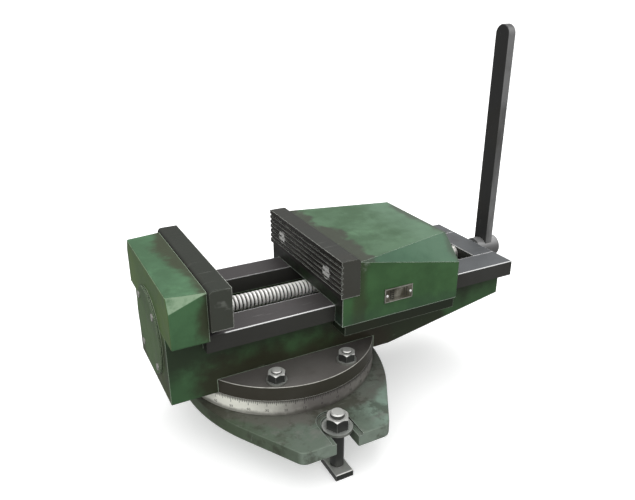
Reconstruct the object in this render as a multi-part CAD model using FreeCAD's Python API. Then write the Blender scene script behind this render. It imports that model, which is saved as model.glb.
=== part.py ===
import FreeCAD, Part
import math
import os

# Swivel machine vise with a 200 mm wide jaw, in millimetres.
# +X runs from the fixed jaw to the crank, +Z is up, and the origin is the centre of the base's seat.
V = FreeCAD.Vector

# Swivel base: a cast plate with two slotted ears and a round boss.
base_side_past_boss = 6.0
base_side_radius = 223.0
base_side_slope = 31.0
ear_length = 33.0
base_plate_height = 16.0
base_corner_radius = 13.0
base_top_round = 1.5
boss_radius = 121.0
boss_height = 19.5
scale_wall = 2.8
scale_gap = 0.02
slot_inner_wall = 19.0
base_hollow_floor = 11.0
base_hub_wall = 13.0
ear_slot_width = 28.0
ear_recess_width = 39.0
ear_recess_depth = 2.5
ear_slot_from_boss = 30.0
slot_overcut = 5.0

# Ring T-slot in the boss for the swivel clamp bolts.
clamp_inset = 11.0
clamp_angle = 24.5
clamp_rod = 12.0
clamp_head_width = 16.0
clamp_head_height = 7.5
clamp_slot_play = 0.5
clamp_slot_lip = 8.0
clamp_slot_depth = 17.5
clamp_rod_above_nut = 2.5

# Swivel plate, its pivot and the four screws that hold the casting on it.
plate_overhang = 2.5
plate_height = 18.0
plate_edge_round = 1.2
plate_pocket_gap = 0.3
pivot_radius = 16.0
pivot_bush_wall = 5.0
pivot_engagement = 22.0
plate_screw_inset = 13.5
plate_screw_angle = 34.0
plate_screw_rod = 10.0
plate_screw_depth = 8.0

# Body casting.
body_front_reach = 159.4
body_length = 467.0
body_half_width = 66.7
body_wall = 23.7
taper_start_x = 129.0
taper_rise = 32.0
channel_floor_above_plate = 12.0
head_length = 41.4
head_bottom_above_ways = 1.4
head_height = 59.2
head_facet_inset = 7.6
head_facet_drop = 17.0
head_facet_inner = 1.5
casting_round = 1.8

# Ways and the rear bearing block.
ways_above_plate = 45.5
way_height = 21.0
way_side_overhang = 13.3
way_rear_overhang = 9.0
way_edge_chamfer = 0.8
way_screw_rod = 8.0
way_screw_count = 5
way_screw_depth = 9.0
block_length = 35.0
block_drop = 13.0
block_screw_inset = 15.0
block_screw_rod = 8.0
block_screw_grip = 9.0
block_screw_depth = 16.0

# Jaw plates.
jaw_gap = 130.3
jaw_plate_thickness = 25.0
fixed_plate_extra_width = 1.5
moving_plate_extra_width = 1.6
jaw_plate_height = 46.6
jaw_plate_above_head = 2.6
jaw_plate_back_round = 5.0
jaw_plate_round = 1.0
groove_count = 6
groove_depth = 1.6
groove_width = 2.6
jaw_screw_y = 62.0
jaw_screw_above_plate_bottom = 19.4
jaw_screw_rod = 10.0
jaw_screw_grip = 22.0

# Moving jaw casting.
jaw_rear_length = 145.8
jaw_skirt_width = 18.0
head_narrower = 3.7
jaw_top_below_head = 2.8
jaw_facet_inset = 32.5
jaw_facet_drop = 29.6
jaw_front_step = 2.7
way_play = 0.15
skirt_play = 0.4

# Keeper strips that hold the jaw down under the ways.
keeper_height = 13.0
keeper_set_back = 4.0
keeper_edge = 0.6
keeper_wall_gap = 0.6
keeper_screw_rod = 8.0
keeper_screw_count = 3
keeper_screw_depth = 14.0

# Name plate on the jaw's side.
name_plate_length = 40.0
name_plate_height = 18.0
name_plate_thickness = 1.2
name_plate_from_face = 34.8
name_plate_below_top = 51.8
rivet_radius = 1.6
rivet_inset = 3.4

# Lead screw, nut, bearings and collar.
screw_above_way_bottom = 8.8
thread_radius = 10.0
thread_depth = 2.0
thread_pitch = 5.0
thread_from_head = 6.0
journal_radius = 8.0
journal_gap = 0.05
bush_wall = 4.0
bush_seat_gap = 0.02
front_bush_length = 32.0
thread_gap = 0.08
nut_length = 60.0
nut_half_width = 30.0
nut_below_axis = 16.0
nut_from_face = 80.0
nut_spigot_length = 30.0
nut_spigot_height = 12.0
nut_spigot_half_width = 18.0
nut_spigot_gap = 0.05
nut_screw_y = 21.0
nut_screw_rod = 8.0
nut_screw_depth = 12.0
collar_radius = 11.8
collar_length = 12.0
collar_end_gap = 0.1
collar_set_screw = 3.0

# Round end cover over the front bearing.
cover_radius = 52.5
cover_above_way_bottom = 1.0
cover_thickness = 3.0
cover_bevel = 1.0
cover_screw_circle = 45.0
cover_screw_count = 4
cover_screw_turn = 45.0
cover_screw_rod = 5.0
cover_screw_head = 4.2
cover_screw_rise = 1.2
cover_screw_depth = 9.0

# Crank: a hub on the lead screw with a flat bar let into it.
hub_radius = 16.0
hub_length = 38.8
hub_gap = 0.6
hub_round = 4.0
bar_width = 25.0
bar_thickness = 12.0
bar_reach = 313.0
bar_below_axis = 9.9
bar_from_hub_face = 12.0
bar_round = 1.6
hub_pin_radius = 3.0
hub_pin_from_face = 6.0

# Table clamps: a T-bolt, washer and nut in each ear.
table_bolt_from_slot_end = 9.0
table_rod = 16.0
table_head_width = 22.0
table_head_length = 37.0
table_head_height = 8.0
table_grip_below = 36.0
table_rod_above_nut = 5.0

# Proportions of standard metric hardware, by rod diameter.
hex_across_flats = {12.0: 19.0, 16.0: 24.0}
hex_nut_height = {12.0: 10.0, 16.0: 14.0}
washer_radius = {12.0: 12.0, 16.0: 17.5}
washer_thickness = {12.0: 2.5, 16.0: 3.0}
rod_hole_gap = 0.5
thread_hole_gap = 0.05
cap_head_ratio = 0.75
head_bore_gap = 0.4
socket_ratio = 0.42

# Places worked out from the sizes above.
base_half_width = boss_radius + base_side_past_boss
ear_slot_end_y = boss_radius + ear_slot_from_boss
base_ear_y = ear_slot_end_y + ear_length
table_bolt_y = ear_slot_end_y + table_bolt_from_slot_end
clamp_circle_radius = boss_radius - clamp_inset
clamp_rod_half = clamp_rod / 2.0 + clamp_slot_play
clamp_head_half = clamp_head_width / 2.0 + 2.0 * clamp_slot_play
base_hollow_radius = clamp_circle_radius - clamp_head_half - slot_inner_wall
base_hub_radius = pivot_radius + pivot_bush_wall + base_hub_wall
plate_radius = boss_radius + plate_overhang
plate_screw_circle = clamp_circle_radius - plate_screw_inset
boss_top_z = base_plate_height + boss_height
plate_top_z = boss_top_z + plate_height
way_bottom_z = plate_top_z + ways_above_plate
way_top_z = way_bottom_z + way_height
screw_z = way_bottom_z + screw_above_way_bottom
cover_z = way_bottom_z + cover_above_way_bottom
channel_half_width = body_half_width - body_wall
block_screw_y = channel_half_width - block_screw_inset
way_half_width = body_half_width + way_side_overhang
jaw_half_width = way_half_width + skirt_play + jaw_skirt_width
head_half_width = jaw_half_width - head_narrower
moving_plate_half_width = jaw_half_width + moving_plate_extra_width
fixed_plate_half_width = moving_plate_half_width + fixed_plate_extra_width
front_x = -body_front_reach
body_rear_x = front_x + body_length
head_face_x = front_x + head_length
fixed_face_x = head_face_x + jaw_plate_thickness
moving_face_x = fixed_face_x + jaw_gap
moving_back_x = moving_face_x + jaw_plate_thickness
jaw_rear_x = moving_back_x + jaw_rear_length
head_top_z = way_top_z + head_bottom_above_ways + head_height
jaw_plate_top_z = head_top_z + jaw_plate_above_head
jaw_plate_bottom_z = jaw_plate_top_z - jaw_plate_height
jaw_screw_z = jaw_plate_bottom_z + jaw_screw_above_plate_bottom
jaw_top_z = head_top_z - jaw_top_below_head
name_plate_z = jaw_top_z - name_plate_below_top
way_rear_x = body_rear_x + way_rear_overhang
block_front_x = way_rear_x - block_length
channel_floor_z = plate_top_z + channel_floor_above_plate
skirt_bottom_z = way_bottom_z - way_play
jaw_floor_z = way_top_z + way_play
nut_start_x = moving_face_x + nut_from_face
collar_start_x = block_front_x - collar_end_gap - collar_length
thread_start_x = head_face_x + thread_from_head
hub_start_x = way_rear_x + hub_gap
screw_end_x = hub_start_x + hub_length
bar_start_x = hub_start_x + bar_from_hub_face


def box(x0, x1, y0, y1, z0, z1):
    return Part.makeBox(x1 - x0, y1 - y0, z1 - z0, V(x0, y0, z0))


def disc(radius, x, y, z0, z1):
    return Part.makeCylinder(radius, z1 - z0, V(x, y, z0))


def rod_x(radius, x0, x1, y=0.0, z=screw_z):
    return Part.makeCylinder(radius, x1 - x0, V(x0, y, z), V(1, 0, 0))


def prism(points, direction):
    corners = [V(*p) for p in points]
    return Part.Face(Part.makePolygon(corners + [corners[0]])).extrude(direction)


def joined(shapes):
    return shapes[0].fuse(shapes[1:]).removeSplitter() if len(shapes) > 1 else shapes[0]


def mirrored_y(shape):
    return shape.mirror(V(0, 0, 0), V(0, 1, 0))


def group(shapes):
    return Part.makeCompound(shapes)


def spread(low, high, count):
    return [low + (high - low) * i / (count - 1) for i in range(count)]


def hexagon(across_flats, height, x, y, z):
    corner = across_flats / math.sqrt(3.0)
    angles = [math.radians(60.0 * i) for i in range(6)]
    points = [(x + corner * math.cos(a), y + corner * math.sin(a), z) for a in angles]
    blank = prism(points, V(0, 0, height))
    top_cone = Part.makeCone(corner + height, across_flats / 2.0, corner + height - across_flats / 2.0,
                             V(x, y, z + across_flats / 2.0 - corner), V(0, 0, 1))
    return blank.common(top_cone)


def nut(rod, x, y, z):
    blank = hexagon(hex_across_flats[rod], hex_nut_height[rod], x, y, z)
    return blank.cut(disc(rod / 2.0 + thread_hole_gap, x, y, z - 1.0, z + hex_nut_height[rod] + 1.0))


def washer(rod, x, y, z):
    ring = disc(washer_radius[rod], x, y, z, z + washer_thickness[rod])
    return ring.cut(disc(rod / 2.0 + rod_hole_gap, x, y, z - 1.0, z + washer_thickness[rod] + 1.0))


def cap_screw(rod, length, place, direction):
    """A socket screw: its head's underside is at place and its rod runs along direction."""
    head_radius = rod * cap_head_ratio
    back = direction * -1.0
    head = Part.makeCylinder(head_radius, rod, place, back)
    shank = Part.makeCylinder(rod / 2.0, length, place, direction)
    socket = Part.makeCylinder(rod * socket_ratio, rod / 2.0, place + back * (rod / 2.0), back)
    return joined([head, shank]).cut(socket)


def cap_screw_space(rod, length, place, direction, mouth):
    """The counterbore and hole that a socket screw needs, open for mouth beyond its head."""
    back = direction * -1.0
    bore = Part.makeCylinder(rod * cap_head_ratio + head_bore_gap, rod + mouth, place, back)
    hole = Part.makeCylinder(rod / 2.0 + thread_hole_gap, length + 1.0, place - direction * 0.5, direction)
    return bore.fuse(hole)


def facet_cut(x0, x1, inset0, drop0, inset1, drop1, y_side, z_top):
    """The corner taken off a top edge, from inset0 by drop0 at x0 to inset1 by drop1 at x1."""
    def triangle(x, inset, drop):
        reach = 0.5
        inner = V(x, y_side - inset * (1.0 + reach), z_top + drop * reach)
        outer = V(x, y_side + inset * reach, z_top - drop * (1.0 + reach))
        corner = V(x, y_side + inset * reach, z_top + drop * reach)
        return Part.makePolygon([inner, outer, corner, inner])
    return Part.makeLoft([triangle(x0, inset0, drop0), triangle(x1, inset1, drop1)], True, True)


def base_outline():
    """The base plate's outline: an arc on each side, and a tangent line to each ear."""
    centre_x = base_half_width - base_side_radius
    slope = math.radians(base_side_slope)
    arc_x = centre_x + base_side_radius * math.cos(slope)
    arc_y = base_side_radius * math.sin(slope)
    ear_x = arc_x - (base_ear_y - arc_y) * math.tan(slope)
    right = Part.Arc(V(arc_x, -arc_y, 0), V(base_half_width, 0, 0), V(arc_x, arc_y, 0)).toShape()
    left = Part.Arc(V(-arc_x, arc_y, 0), V(-base_half_width, 0, 0), V(-arc_x, -arc_y, 0)).toShape()
    back = Part.makePolygon([V(arc_x, arc_y, 0), V(ear_x, base_ear_y, 0),
                             V(-ear_x, base_ear_y, 0), V(-arc_x, arc_y, 0)])
    front = Part.makePolygon([V(-arc_x, -arc_y, 0), V(-ear_x, -base_ear_y, 0),
                              V(ear_x, -base_ear_y, 0), V(arc_x, -arc_y, 0)])
    return Part.Wire([right] + back.Edges + [left] + front.Edges)


def upright_edges_at(shape, y):
    return [e for e in shape.Edges if len(e.Vertexes) == 2
            and abs(e.Vertexes[0].Y - e.Vertexes[1].Y) < 1e-6
            and abs(e.Vertexes[0].X - e.Vertexes[1].X) < 1e-6
            and abs(abs(e.Vertexes[0].Y) - y) < 1e-6]


def edges_at_z(shape, z):
    return [e for e in shape.Edges if all(abs(v.Z - z) < 1e-6 for v in e.Vertexes)
            and abs(e.BoundBox.ZMin - e.BoundBox.ZMax) < 1e-6]


def edges_below(shape, z):
    """Edges that lie wholly below the level z."""
    return [e for e in shape.Edges if max(v.Z for v in e.Vertexes) < z - 1e-6]


def edges_before(shape, x):
    """Edges that don't lie in the plane at x."""
    return [e for e in shape.Edges if min(v.X for v in e.Vertexes) < x - 1e-6]


def edges_in_end(shape, x):
    """Edges that lie in the plane at x and not round the shape's foot."""
    foot = shape.BoundBox.ZMin + 1e-6
    return [e for e in shape.Edges if min(v.X for v in e.Vertexes) > x - 1e-6
            and max(v.Z for v in e.Vertexes) > foot]


def ear_slot(width, z0, z1):
    half = width / 2.0
    run = box(-half, half, -base_ear_y - slot_overcut, -ear_slot_end_y, z0, z1)
    return run.fuse(disc(half, 0, -ear_slot_end_y, z0, z1))


def ring_cut(inner, outer, z0, z1):
    return disc(outer, 0, 0, z0, z1).cut(disc(inner, 0, 0, z0 - 1.0, z1 + 1.0))


def clamp_places():
    angle = math.radians(clamp_angle)
    x = clamp_circle_radius * math.sin(angle)
    y = clamp_circle_radius * math.cos(angle)
    return [(sx * x, sy * y) for sx in (-1, 1) for sy in (-1, 1)]


def make_swivel_base():
    plate = Part.Face(base_outline()).extrude(V(0, 0, base_plate_height))
    plate = plate.makeFillet(base_corner_radius, upright_edges_at(plate, base_ear_y))
    plate = plate.makeFillet(base_top_round, edges_at_z(plate, base_plate_height))
    body = plate.fuse(disc(boss_radius, 0, 0, base_plate_height - 1.0, boss_top_z)).removeSplitter()
    body = body.cut(ring_cut(base_hub_radius, base_hollow_radius, base_hollow_floor, boss_top_z + 1.0))
    lip_z = boss_top_z - clamp_slot_lip
    body = body.cut(ring_cut(clamp_circle_radius - clamp_rod_half, clamp_circle_radius + clamp_rod_half,
                             lip_z - 1.0, boss_top_z + 1.0))
    body = body.cut(ring_cut(clamp_circle_radius - clamp_head_half, clamp_circle_radius + clamp_head_half,
                             boss_top_z - clamp_slot_depth, lip_z))
    for cut in (ear_slot(ear_slot_width, -1.0, base_plate_height + 1.0),
                ear_slot(ear_recess_width, base_plate_height - ear_recess_depth, base_plate_height + 1.0)):
        body = body.cut(cut).cut(mirrored_y(cut))
    pocket = disc(pivot_radius + pivot_bush_wall, 0, 0, boss_top_z - pivot_engagement, boss_top_z + 1.0)
    return body.cut(pocket)


def make_scale_ring():
    inner = boss_radius + scale_gap
    ring = ring_cut(inner, inner + scale_wall, base_plate_height, boss_top_z)
    return ring


def make_pivot_bush():
    outer = pivot_radius + pivot_bush_wall - bush_seat_gap
    return ring_cut(pivot_radius + journal_gap, outer, boss_top_z - pivot_engagement, boss_top_z)


def make_pivot_pin():
    return disc(pivot_radius, 0, 0, boss_top_z - pivot_engagement + 1.0, plate_top_z)


def plate_screw_places():
    angle = math.radians(plate_screw_angle)
    x = plate_screw_circle * math.cos(angle)
    y = plate_screw_circle * math.sin(angle)
    return [(sx * x, sy * y) for sx in (-1, 1) for sy in (-1, 1)]


def make_swivel_plate():
    plate = disc(plate_radius, 0, 0, boss_top_z, plate_top_z)
    plate = plate.makeFillet(plate_edge_round, edges_at_z(plate, plate_top_z))
    plate = plate.cut(disc(pivot_radius + bush_seat_gap, 0, 0, boss_top_z - 1.0, plate_top_z + 1.0))
    for x, y in clamp_places():
        plate = plate.cut(disc(clamp_rod / 2.0 + rod_hole_gap, x, y, boss_top_z - 1.0, plate_top_z + 1.0))
    for x, y in plate_screw_places():
        plate = plate.cut(cap_screw_space(plate_screw_rod, plate_height, V(x, y, plate_screw_seat_z()),
                                          V(0, 0, 1), 2.0))
    return plate


def plate_screw_seat_z():
    return boss_top_z + plate_screw_rod + 0.5


def plate_screw_length():
    return plate_top_z - plate_screw_seat_z() + plate_screw_depth


def make_plate_screws():
    return group([cap_screw(plate_screw_rod, plate_screw_length(), V(x, y, plate_screw_seat_z()), V(0, 0, 1))
                  for x, y in plate_screw_places()])


def make_clamp_bolts():
    bolts = []
    head_top_z = boss_top_z - clamp_slot_lip - 0.2
    nut_top_z = plate_top_z + washer_thickness[clamp_rod] + hex_nut_height[clamp_rod]
    half = clamp_head_width / 2.0
    for x, y in clamp_places():
        head = box(-half, half, -half, half, head_top_z - clamp_head_height, head_top_z)
        head.rotate(V(0, 0, 0), V(0, 0, 1), math.degrees(math.atan2(y, x)))
        head.translate(V(x, y, 0))
        shank = disc(clamp_rod / 2.0, x, y, head_top_z - 1.0, nut_top_z + clamp_rod_above_nut)
        tip = edges_at_z(shank, nut_top_z + clamp_rod_above_nut)
        bolts.append(joined([head, shank.makeChamfer(1.0, tip)]))
    return group(bolts)


def make_body_casting():
    half = body_half_width
    side = [(front_x, -half, boss_top_z), (taper_start_x, -half, boss_top_z),
            (body_rear_x, -half, boss_top_z + taper_rise), (body_rear_x, -half, way_bottom_z),
            (front_x, -half, way_bottom_z)]
    trunk = prism(side, V(0, 2.0 * half, 0))
    trunk = trunk.makeFillet(casting_round, edges_below(trunk, way_bottom_z))
    neck = box(front_x, head_face_x, -half, half, way_bottom_z - 1.0, head_top_z - head_height + 1.0)
    head = box(front_x, head_face_x, -head_half_width, head_half_width, head_top_z - head_height, head_top_z)
    facet = facet_cut(front_x, head_face_x, head_facet_inset, head_facet_drop,
                      head_facet_inner, head_facet_inner, head_half_width, head_top_z)
    head = head.cut(facet).cut(mirrored_y(facet))
    head = head.makeFillet(casting_round, edges_before(head, head_face_x))
    body = joined([trunk, neck, head])
    body = body.cut(box(head_face_x, block_front_x, -channel_half_width, channel_half_width,
                        channel_floor_z, way_bottom_z + 1.0))
    body = body.cut(box(block_front_x - 1.0, body_rear_x + 1.0, -channel_half_width, channel_half_width,
                        way_bottom_z - block_drop, way_bottom_z + 1.0))
    body = body.cut(disc(plate_radius + plate_pocket_gap, 0, 0, boss_top_z - 1.0, plate_top_z))
    body = body.cut(rod_x(journal_radius + bush_wall, front_x - 1.0, head_face_x + 1.0))
    for x, y in plate_screw_places():
        body = body.cut(disc(plate_screw_rod / 2.0 + thread_hole_gap, x, y, plate_top_z - 1.0,
                             plate_screw_seat_z() + plate_screw_length() + 1.0))
    for y, z in cover_screw_places():
        body = body.cut(rod_x(cover_screw_rod / 2.0 + thread_hole_gap, front_x - 1.0,
                              front_x + cover_screw_depth + 1.0, y, z))
    for y in (-jaw_screw_y, jaw_screw_y):
        body = body.cut(rod_x(jaw_screw_rod / 2.0 + thread_hole_gap,
                              head_face_x - jaw_screw_grip, head_face_x + 1.0, y, jaw_screw_z))
    for x, y in way_screw_places():
        body = body.cut(disc(way_screw_rod / 2.0 + thread_hole_gap, x, y,
                             way_bottom_z - way_screw_depth - 1.0, way_bottom_z + 1.0))
    for y in (-block_screw_y, block_screw_y):
        body = body.cut(cap_screw_space(block_screw_rod, block_screw_grip + 1.0,
                                        V(block_screw_x(), y, block_screw_seat_z()), V(0, 0, 1), taper_rise))
    return body


def way_screw_places():
    """Hidden studs between the casting and the ways, on the body's side walls."""
    y = (channel_half_width + body_half_width) / 2.0
    xs = spread(head_face_x + 20.0, body_rear_x - 20.0, way_screw_count)
    return [(x, side * y) for x in xs for side in (-1, 1)]


def make_way_studs():
    z0 = way_bottom_z - way_screw_depth
    return group([disc(way_screw_rod / 2.0, x, y, z0, way_bottom_z + way_screw_depth)
                  for x, y in way_screw_places()])


def make_way(side):
    low, high = sorted((side * channel_half_width, side * way_half_width))
    way = box(head_face_x, way_rear_x, low, high, way_bottom_z, way_top_z)
    way = way.makeChamfer(way_edge_chamfer, [e for e in edges_at_z(way, way_top_z)
                                             if min(abs(v.Y) for v in e.Vertexes) > way_half_width - 1e-6
                                             or min(v.X for v in e.Vertexes) > way_rear_x - 1e-6])
    for x, y in way_screw_places():
        if y * side > 0:
            way = way.cut(disc(way_screw_rod / 2.0 + thread_hole_gap, x, y, way_bottom_z - 1.0,
                               way_bottom_z + way_screw_depth + 0.5))
    return way


def block_screw_x():
    return block_front_x + block_length / 3.0


def block_screw_seat_z():
    return way_bottom_z - block_drop - block_screw_grip


def make_bearing_block():
    block = box(block_front_x, way_rear_x, -channel_half_width, channel_half_width,
                way_bottom_z - block_drop, way_top_z)
    block = block.makeChamfer(way_edge_chamfer, [e for e in edges_at_z(block, way_top_z)
                                                 if min(v.X for v in e.Vertexes) > way_rear_x - 1e-6])
    block = block.cut(rod_x(journal_radius + bush_wall / 2.0, block_front_x - 1.0, way_rear_x + 1.0))
    for y in (-block_screw_y, block_screw_y):
        block = block.cut(disc(block_screw_rod / 2.0 + thread_hole_gap, block_screw_x(), y,
                               way_bottom_z - block_drop - 1.0,
                               way_bottom_z - block_drop + block_screw_depth + 1.0))
    return block


def make_block_screws():
    length = block_screw_grip + block_screw_depth
    return group([cap_screw(block_screw_rod, length, V(block_screw_x(), y, block_screw_seat_z()), V(0, 0, 1))
                  for y in (-block_screw_y, block_screw_y)])


def make_rear_bush():
    outer = journal_radius + bush_wall / 2.0 - bush_seat_gap
    return rod_x(outer, block_front_x, way_rear_x).cut(
        rod_x(journal_radius + journal_gap, block_front_x - 1.0, way_rear_x + 1.0))


def make_front_bush():
    x0 = head_face_x - front_bush_length
    outer = journal_radius + bush_wall - bush_seat_gap
    return rod_x(outer, x0, head_face_x).cut(rod_x(journal_radius + journal_gap, x0 - 1.0, head_face_x + 1.0))


def jaw_plate_blank(half_width, grooves):
    """A jaw plate whose working face is at x = 0 and whose back, with the round top edge, is towards +X."""
    plate = box(0, jaw_plate_thickness, -half_width, half_width, jaw_plate_bottom_z, jaw_plate_top_z)
    back_edge = [e for e in edges_at_z(plate, jaw_plate_top_z)
                 if min(v.X for v in e.Vertexes) > jaw_plate_thickness - 1e-6]
    plate = plate.makeFillet(jaw_plate_back_round, back_edge)
    ends = [e for e in plate.Edges if e.BoundBox.YLength < 1e-6 and e.BoundBox.ZMax > jaw_plate_top_z - 1e-6
            and e.BoundBox.ZLength < 1e-6]
    plate = plate.makeFillet(jaw_plate_round, ends)
    step = jaw_plate_height / (groove_count + 1)
    for i in range(grooves):
        z = jaw_plate_bottom_z + step * (i + 1)
        groove = prism([(-0.5, -half_width - 1.0, z - groove_width / 2.0 - 0.25),
                        (groove_depth, -half_width - 1.0, z - groove_width / 4.0),
                        (groove_depth, -half_width - 1.0, z + groove_width / 4.0),
                        (-0.5, -half_width - 1.0, z + groove_width / 2.0 + 0.25)],
                       V(0, 2.0 * half_width + 2.0, 0))
        plate = plate.cut(groove)
    for y in (-jaw_screw_y, jaw_screw_y):
        plate = plate.cut(cap_screw_space(jaw_screw_rod, jaw_plate_thickness + 1.0,
                                          V(jaw_screw_seat(), y, jaw_screw_z), V(1, 0, 0), 2.0))
    return plate


def jaw_screw_seat():
    """Depth of a jaw screw's head underside below the plate's working face."""
    return groove_depth + jaw_screw_rod + 0.6


def jaw_screws_blank():
    length = jaw_plate_thickness - jaw_screw_seat() + jaw_screw_grip - 2.0
    return group([cap_screw(jaw_screw_rod, length, V(jaw_screw_seat(), y, jaw_screw_z), V(1, 0, 0))
                  for y in (-jaw_screw_y, jaw_screw_y)])


def on_fixed_face(shape):
    turned = shape.mirror(V(0, 0, 0), V(1, 0, 0))
    turned.translate(V(fixed_face_x, 0, 0))
    return turned


def on_moving_face(shape):
    moved = shape.copy()
    moved.translate(V(moving_face_x, 0, 0))
    return moved


def make_moving_jaw():
    half = jaw_half_width
    block = box(moving_back_x, jaw_rear_x, -half, half, skirt_bottom_z, jaw_top_z)
    facet = facet_cut(moving_back_x, jaw_rear_x, 0.2, 0.2, jaw_facet_inset, jaw_facet_drop, half, jaw_top_z)
    block = block.cut(facet).cut(mirrored_y(facet))
    block = block.makeFillet(casting_round, edges_in_end(block, jaw_rear_x))
    toe = box(moving_face_x + jaw_front_step, moving_back_x + 1.0, -half, half,
              skirt_bottom_z, jaw_plate_bottom_z)
    jaw = joined([block, toe])
    jaw = jaw.cut(box(moving_face_x - 1.0, jaw_rear_x + 1.0, -way_half_width - skirt_play,
                      way_half_width + skirt_play, skirt_bottom_z - 1.0, jaw_floor_z))
    gap = nut_spigot_gap
    x0, x1 = spigot_span()
    jaw = jaw.cut(box(x0 - gap, x1 + gap, -nut_spigot_half_width - gap, nut_spigot_half_width + gap,
                      jaw_floor_z - 1.0, jaw_floor_z + nut_spigot_height + gap))
    for x, y in nut_screw_places():
        jaw = jaw.cut(disc(nut_screw_rod / 2.0 + thread_hole_gap, x, y, jaw_floor_z - 1.0,
                           jaw_floor_z + nut_screw_depth + 1.0))
    for y in (-jaw_screw_y, jaw_screw_y):
        jaw = jaw.cut(rod_x(jaw_screw_rod / 2.0 + thread_hole_gap, moving_back_x - 1.0,
                            moving_back_x + jaw_screw_grip, y, jaw_screw_z))
    for x, y in keeper_screw_places():
        jaw = jaw.cut(disc(keeper_screw_rod / 2.0 + thread_hole_gap, x, y, skirt_bottom_z - 1.0,
                           skirt_bottom_z + keeper_screw_depth + 1.0))
    for x in rivet_places():
        jaw = jaw.cut(Part.makeCylinder(rivet_radius * 0.6 + thread_hole_gap, 6.0,
                                        V(x, -half - 1.0, name_plate_z), V(0, 1, 0)))
    return jaw


def spigot_span():
    middle = nut_start_x + nut_length / 2.0
    return middle - nut_spigot_length / 2.0, middle + nut_spigot_length / 2.0


def nut_screw_places():
    """Two screws each side of the spigot, through the nut's top flange from below."""
    inset = nut_screw_rod * 1.1
    return [(x, side * nut_screw_y) for x in (nut_start_x + inset, nut_start_x + nut_length - inset)
            for side in (-1, 1)]


def nut_screw_seat_z():
    return screw_z - nut_below_axis + nut_screw_rod + 0.5


def make_jaw_nut():
    body = box(nut_start_x, nut_start_x + nut_length, -nut_half_width, nut_half_width,
               screw_z - nut_below_axis, jaw_floor_z)
    x0, x1 = spigot_span()
    spigot = box(x0, x1, -nut_spigot_half_width, nut_spigot_half_width,
                 jaw_floor_z - 1.0, jaw_floor_z + nut_spigot_height)
    nut_block = joined([body, spigot])
    nut_block = nut_block.cut(rod_x(thread_radius + thread_gap, nut_start_x - 1.0, nut_start_x + nut_length + 1.0))
    for x, y in nut_screw_places():
        nut_block = nut_block.cut(cap_screw_space(nut_screw_rod, jaw_floor_z - nut_screw_seat_z() + 1.0,
                                                  V(x, y, nut_screw_seat_z()), V(0, 0, 1), 2.0))
    return nut_block


def make_nut_screws():
    length = jaw_floor_z - nut_screw_seat_z() + nut_screw_depth
    return group([cap_screw(nut_screw_rod, length, V(x, y, nut_screw_seat_z()), V(0, 0, 1))
                  for x, y in nut_screw_places()])


def keeper_span():
    return moving_face_x + jaw_front_step + keeper_set_back, jaw_rear_x - keeper_set_back


def keeper_screw_places():
    y = (way_half_width + skirt_play + jaw_half_width) / 2.0
    low, high = keeper_span()
    xs = spread(low + 20.0, high - 20.0, keeper_screw_count)
    return [(x, side * y) for x in xs for side in (-1, 1)]


def keeper_screw_seat_z():
    return skirt_bottom_z - keeper_height + keeper_screw_rod + 0.5


def make_keeper(side):
    low, high = keeper_span()
    inner, outer = sorted((side * (body_half_width + keeper_wall_gap), side * (jaw_half_width - keeper_edge)))
    keeper = box(low, high, inner, outer, skirt_bottom_z - keeper_height, skirt_bottom_z)
    for x, y in keeper_screw_places():
        if y * side > 0:
            keeper = keeper.cut(cap_screw_space(keeper_screw_rod, keeper_height, V(x, y, keeper_screw_seat_z()),
                                                V(0, 0, 1), 2.0))
    return keeper


def make_keeper_screws():
    length = skirt_bottom_z - keeper_screw_seat_z() + keeper_screw_depth
    return group([cap_screw(keeper_screw_rod, length, V(x, y, keeper_screw_seat_z()), V(0, 0, 1))
                  for x, y in keeper_screw_places()])


def name_plate_start():
    return moving_back_x + name_plate_from_face


def rivet_places():
    start = name_plate_start()
    return [start + rivet_inset, start + name_plate_length - rivet_inset]


def make_name_plate():
    x0 = name_plate_start()
    z0 = name_plate_z - name_plate_height / 2.0
    y1 = -jaw_half_width
    plate = box(x0, x0 + name_plate_length, y1 - name_plate_thickness, y1, z0, z0 + name_plate_height)
    for x in rivet_places():
        plate = plate.cut(Part.makeCylinder(rivet_radius * 0.6 + thread_hole_gap, name_plate_thickness + 2.0,
                                            V(x, y1 + 1.0, name_plate_z), V(0, -1, 0)))
    return plate


def make_name_plate_rivets():
    rivets = []
    face_y = -jaw_half_width - name_plate_thickness
    for x in rivet_places():
        head = Part.makeSphere(rivet_radius, V(x, face_y, name_plate_z))
        head = head.common(box(x - 3.0, x + 3.0, face_y - 3.0, face_y, name_plate_z - 3.0, name_plate_z + 3.0))
        shank = Part.makeCylinder(rivet_radius * 0.6, name_plate_thickness + 4.0, V(x, face_y, name_plate_z), V(0, 1, 0))
        rivets.append(joined([head, shank]))
    return group(rivets)


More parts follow.
